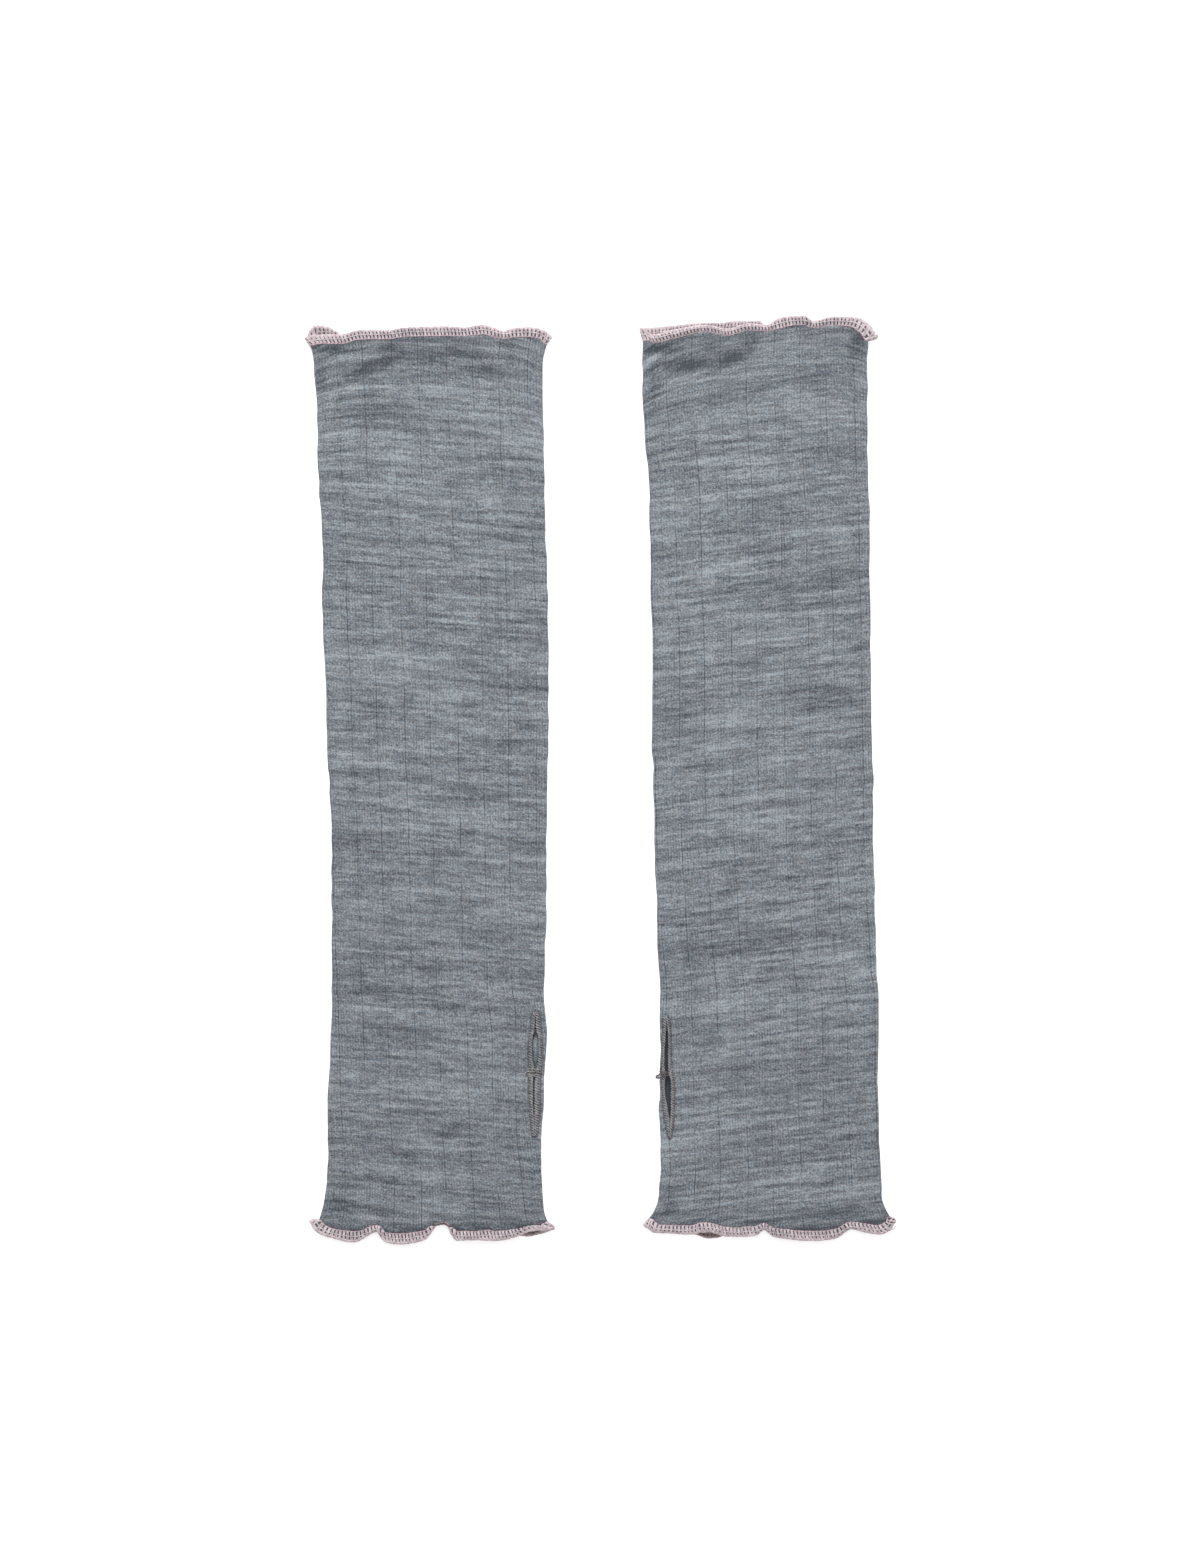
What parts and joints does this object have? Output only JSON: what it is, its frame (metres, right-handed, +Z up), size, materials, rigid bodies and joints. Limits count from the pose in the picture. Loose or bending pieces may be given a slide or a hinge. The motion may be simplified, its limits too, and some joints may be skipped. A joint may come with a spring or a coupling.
{
  "type": "pair of wrist warmers",
  "caption": "Long fingerless wrist warmers of fine rib knit, laid flat, with wavy overlocked hems and a stitched thumb slit in each.",
  "frame": {"origin": "on the surface that the pair lies on, under the middle of the pair", "axes": "+Y from the hand ends to the arm ends, +Z up away from the surface, +X to the right as seen from above"},
  "size_m": [0.2369, 0.3714, 0.0062],
  "materials": {
    "rib_knit": "soft heather grey fine rib knit, matt with a slight woolly halo",
    "overlock_thread": "pale pink overlock thread over grey cloth",
    "slit_edge": "turned grey knit lip, stitched in taupe thread"
  },
  "bodies": {
    "root": {"left_body": "rib_knit", "right_body": "rib_knit", "left_arm_hem": "overlock_thread", "left_hand_hem": "overlock_thread", "right_arm_hem": "overlock_thread", "right_hand_hem": "overlock_thread", "left_thumb_binding": "slit_edge", "right_thumb_binding": "slit_edge"}
  },
  "joints": []
}
